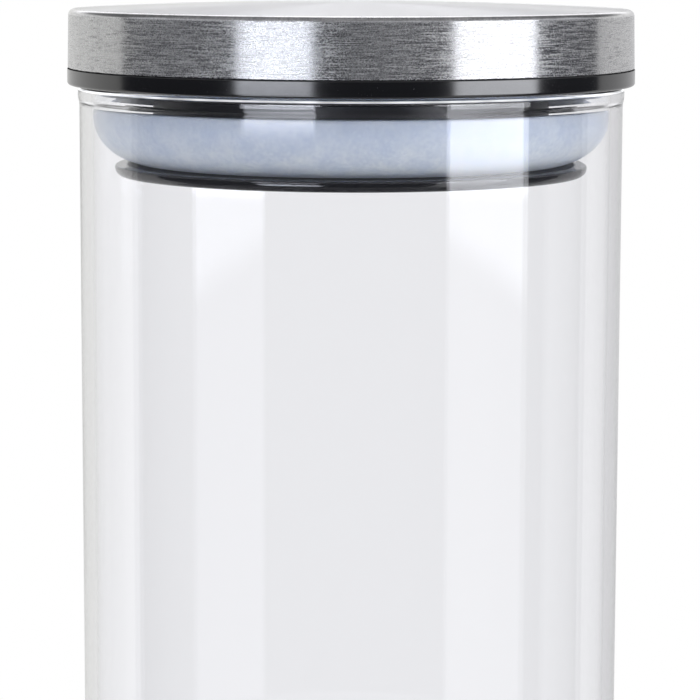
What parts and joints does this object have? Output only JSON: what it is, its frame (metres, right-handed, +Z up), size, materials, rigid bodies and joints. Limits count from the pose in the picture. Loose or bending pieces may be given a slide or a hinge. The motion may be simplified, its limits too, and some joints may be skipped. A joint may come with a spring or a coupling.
{
  "type": "lidded glass canister",
  "caption": "Straight clear glass storage jar closed by a brushed steel capped plug lid with a black flange and a soft translucent gasket.",
  "frame": {"origin": "middle of the base that the jar stands on", "axes": "+Z up along the jar's axis; X and Y across, with nothing to tell them apart"},
  "size_m": [0.1042, 0.1042, 0.2051],
  "materials": {
    "clear_glass": "clear, smooth, fire-polished rim",
    "brushed_steel": "fine brushing around the axis",
    "black_plastic": "glossy moulded black",
    "silicone": "translucent bluish white silicone"
  },
  "bodies": {
    "jar": {"glass_jar": "clear_glass"},
    "gasket": {"silicone_gasket": "silicone"},
    "lid": {"steel_cap": "brushed_steel", "lid_body": "black_plastic", "retaining_disc": "black_plastic"}
  },
  "joints": [
    {"name": "lid_lift", "type": "slide", "parent": "jar", "child": "gasket", "axis": [0, 0, 1], "range_m": [0, 0.1]},
    {"name": "lid_turn", "type": "hinge", "parent": "gasket", "child": "lid", "pos_m": [0, 0, 0.18], "axis": [0, 0, 1], "continuous": true}
  ]
}
